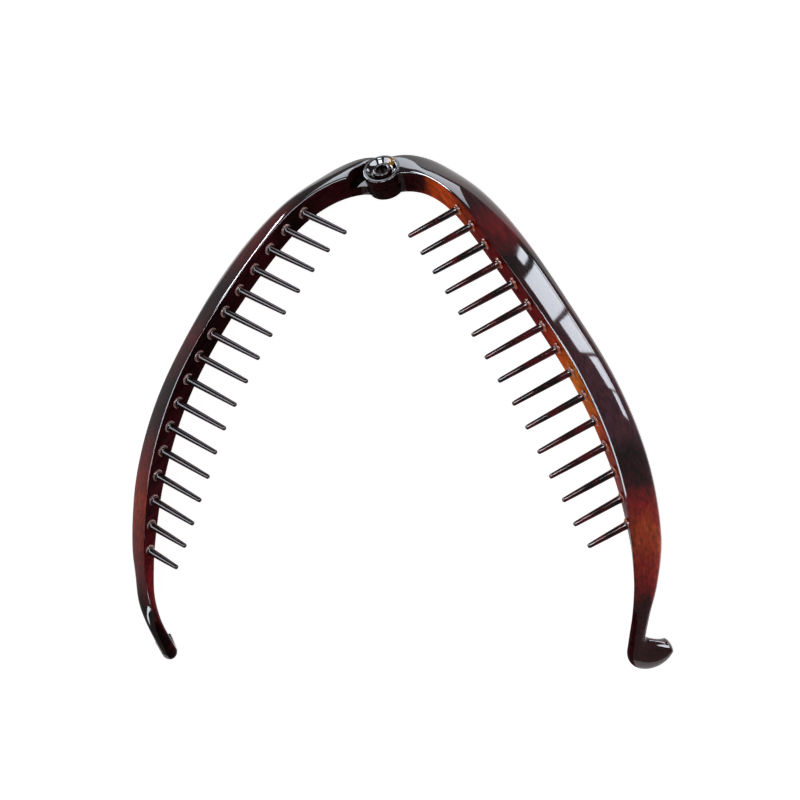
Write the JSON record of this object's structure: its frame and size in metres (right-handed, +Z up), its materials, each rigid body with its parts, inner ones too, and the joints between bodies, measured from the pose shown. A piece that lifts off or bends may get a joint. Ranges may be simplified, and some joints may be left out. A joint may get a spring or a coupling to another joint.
{
  "type": "banana hair clip",
  "caption": "Hinged banana hair clip in tortoiseshell plastic: two arched comb arms that swing on a hollow pin and hook together at their ends.",
  "frame": {"origin": "bottom centre of the bounding box of the clip as it lies open on a table, on its rear knuckle and both hooks", "axes": "+Z up from the table, +Y towards the hinge, +X from the left arm to the right arm"},
  "size_m": [0.1402, 0.1334, 0.0274],
  "materials": {
    "tortoiseshell": "polished translucent dark red-brown tortoiseshell plastic, amber red where it is thin",
    "pin_plastic": "polished near-black brown plastic"
  },
  "bodies": {
    "left_side": {"left_arm": "tortoiseshell", "hinge_pin": "pin_plastic"},
    "right_side": {"right_arm": "tortoiseshell"}
  },
  "joints": [
    {"name": "arm_hinge", "type": "hinge", "parent": "left_side", "child": "right_side", "pos_m": [-0.00168, 0.06251, 0.00835], "axis": [-0.0378, 0.525, 0.8503], "range_deg": [-58, 33]}
  ]
}
